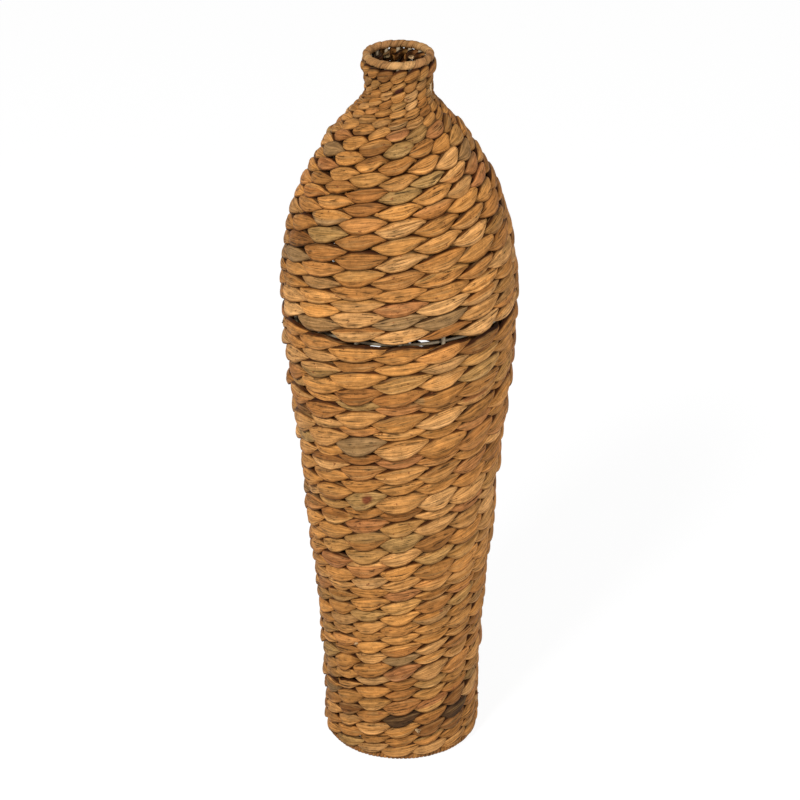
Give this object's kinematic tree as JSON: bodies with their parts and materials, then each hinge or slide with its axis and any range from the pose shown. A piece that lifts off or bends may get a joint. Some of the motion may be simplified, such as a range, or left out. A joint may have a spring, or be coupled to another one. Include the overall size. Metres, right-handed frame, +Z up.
{
  "type": "vase",
  "caption": "Tall floor vase with a narrow wrapped neck and full shoulder, of dried plant stem twined on a wire frame, with an open band at the waist.",
  "frame": {"origin": "centre of the foot, on the floor", "axes": "+Z up along the vase's axis, -Y towards the viewer of the picture"},
  "size_m": [0.2508, 0.2508, 0.8001],
  "materials": {
    "painted_wire": "satin taupe paint on iron wire",
    "stem_tan": "dried water hyacinth stem, orange tan, matte with a soft sheen",
    "stem_brown": "dried water hyacinth stem, warm brown, matte",
    "stem_tan_pink": "dried water hyacinth stem, pinkish tan, matte",
    "stem_olive": "dried water hyacinth stem, olive grey, matte",
    "stem_dark": "dried water hyacinth stem, dark brown, matte"
  },
  "bodies": {
    "root": {"upper_row_01": "stem_tan", "upper_row_02": "stem_olive", "upper_row_03": "stem_tan_pink", "upper_row_04": "stem_brown", "upper_row_05": "stem_tan", "upper_row_06": "stem_olive", "upper_row_07": "stem_tan_pink", "upper_row_08": "stem_brown", "upper_row_09": "stem_dark", "upper_row_10": "stem_olive", "upper_row_11": "stem_tan_pink", "upper_row_12": "stem_brown", "upper_row_13": "stem_tan", "upper_row_14": "stem_olive", "upper_row_15": "stem_tan_pink", "upper_row_16": "stem_brown", "upper_row_17": "stem_tan", "upper_row_18": "stem_olive", "upper_row_19": "stem_tan_pink", "upper_row_20": "stem_dark", "lower_row_01": "stem_tan", "lower_row_02": "stem_olive", "lower_row_03": "stem_tan_pink", "lower_row_04": "stem_brown", "lower_row_05": "stem_tan", "lower_row_06": "stem_olive", "lower_row_07": "stem_tan_pink", "lower_row_08": "stem_brown", "lower_row_09": "stem_dark", "lower_row_10": "stem_olive", "lower_row_11": "stem_tan_pink", "lower_row_12": "stem_brown", "lower_row_13": "stem_tan", "lower_row_14": "stem_olive", "lower_row_15": "stem_tan_pink", "lower_row_16": "stem_brown", "lower_row_17": "stem_tan", "lower_row_18": "stem_olive", "lower_row_19": "stem_tan_pink", "lower_row_20": "stem_dark", "lower_row_21": "stem_tan", "lower_row_22": "stem_olive", "lower_row_23": "stem_tan_pink", "lower_row_24": "stem_brown", "lower_row_25": "stem_tan", "lower_row_26": "stem_olive", "lower_row_27": "stem_tan_pink", "lower_row_28": "stem_brown", "lower_row_29": "stem_tan", "lower_row_30": "stem_olive", "lower_row_31": "stem_dark", "lower_row_32": "stem_brown", "lower_row_33": "stem_tan", "wire_frame": "painted_wire", "rim_hoop": "painted_wire", "rim_wrap": "stem_tan", "foot_binding": "stem_brown", "base_mat": "stem_olive"}
  },
  "joints": []
}
